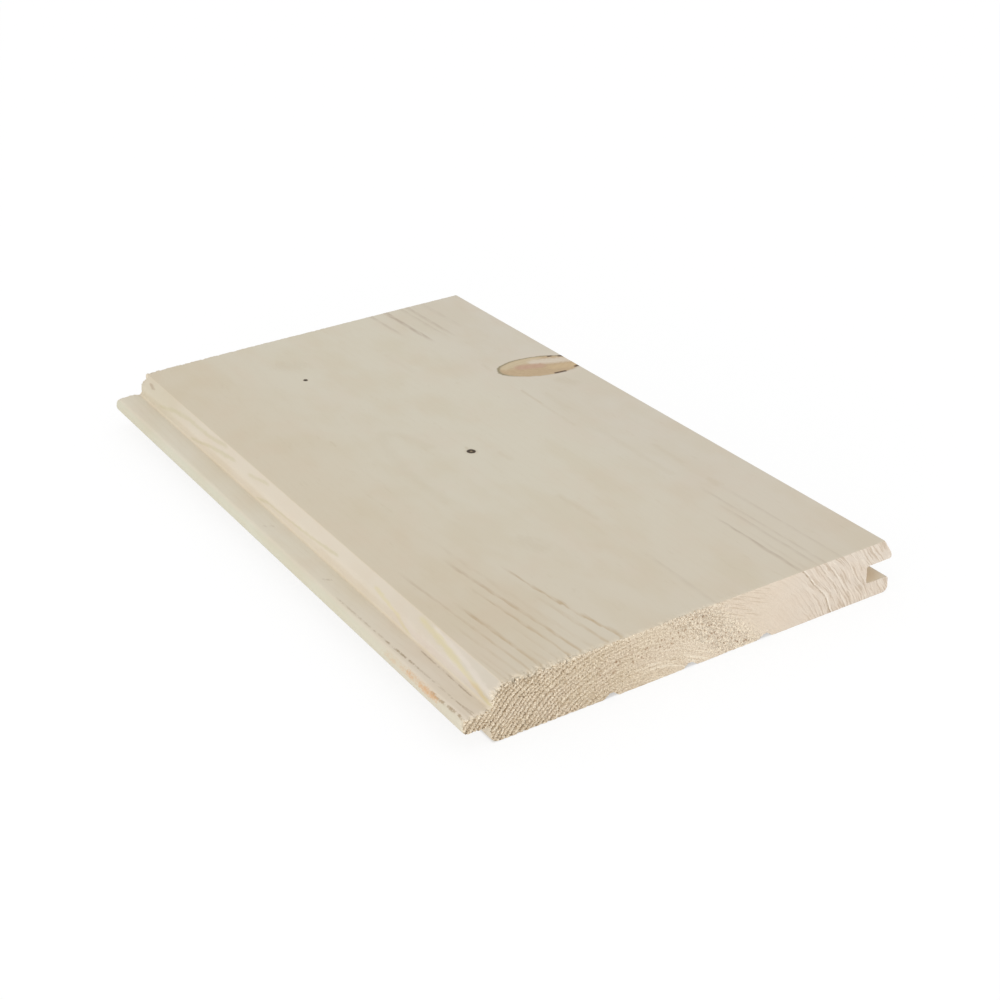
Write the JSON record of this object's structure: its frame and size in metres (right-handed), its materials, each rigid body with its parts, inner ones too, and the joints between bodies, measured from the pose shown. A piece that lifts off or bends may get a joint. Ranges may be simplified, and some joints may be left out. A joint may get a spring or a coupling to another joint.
{
  "type": "tongue and groove board",
  "caption": "Short length of planed softwood wall board with a rounded tongue on one long edge, a groove in the other, bevelled face arrises and a relieved back.",
  "frame": {"origin": "middle of the back, on the overall width and length, where the board lies on a level floor", "axes": "+X across the board from tongue to groove, +Y along the grain, +Z from the back to the face"},
  "size_m": [0.146, 0.245, 0.0175],
  "materials": {
    "softwood": "planed faces and rough-sawn ends, unfinished"
  },
  "bodies": {
    "root": {"board": "softwood"}
  },
  "joints": []
}
